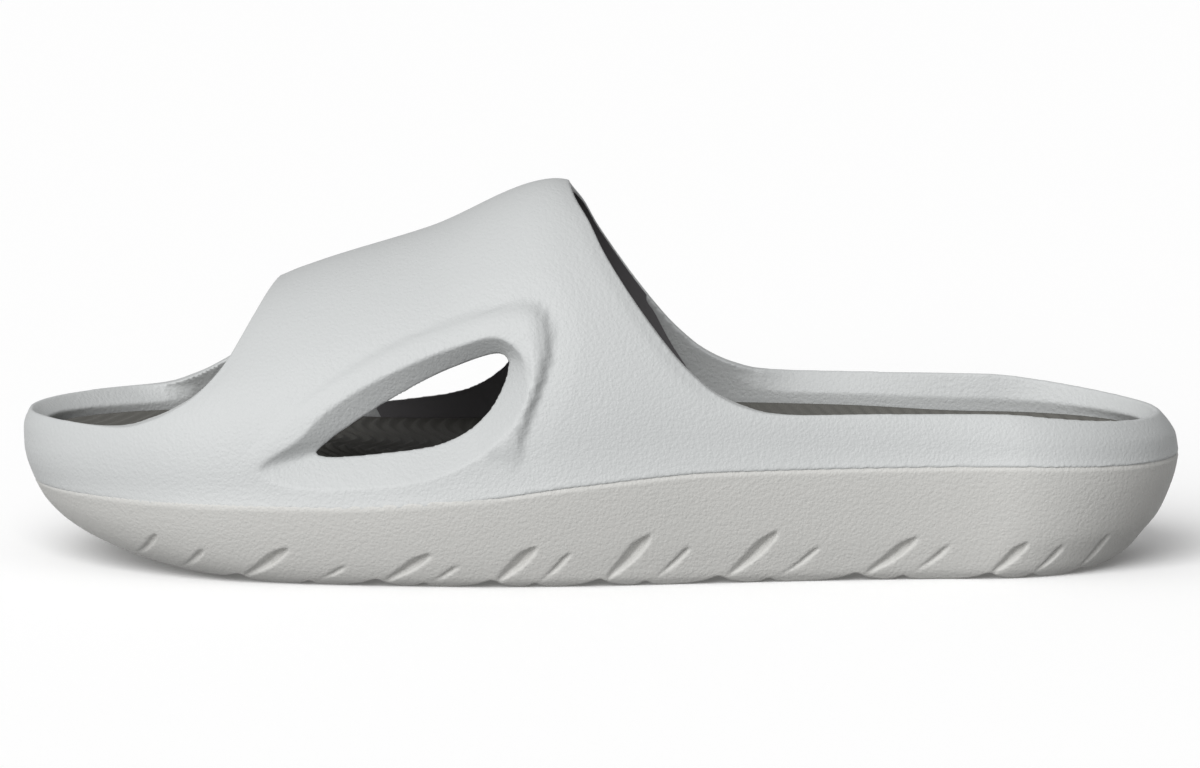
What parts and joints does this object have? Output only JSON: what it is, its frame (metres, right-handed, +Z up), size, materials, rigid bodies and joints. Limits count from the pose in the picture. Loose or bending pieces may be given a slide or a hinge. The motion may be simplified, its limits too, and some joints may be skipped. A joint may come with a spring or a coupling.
{
  "type": "slide sandal",
  "caption": "Moulded foam slide sandal for the left foot: a broad strap with leaf-shaped side windows, a raised collar round the foot and a dark dished footbed.",
  "frame": {"origin": "centre of the shoe's footprint box, on the floor under the sole", "axes": "+X towards the heel, so the toe points along -X; +Y towards the inner (medial) side of the left foot; +Z up"},
  "size_m": [0.2898, 0.1088, 0.0957],
  "materials": {
    "sole_foam": "matte moulded EVA foam, warm light grey",
    "upper_foam": "satin moulded EVA foam with a fine grain, cool light grey",
    "footbed_foam": "matte dark grey EVA foam with fine contour ridges"
  },
  "bodies": {
    "root": {"sole": "sole_foam", "upper": "upper_foam", "footbed": "footbed_foam"}
  },
  "joints": []
}
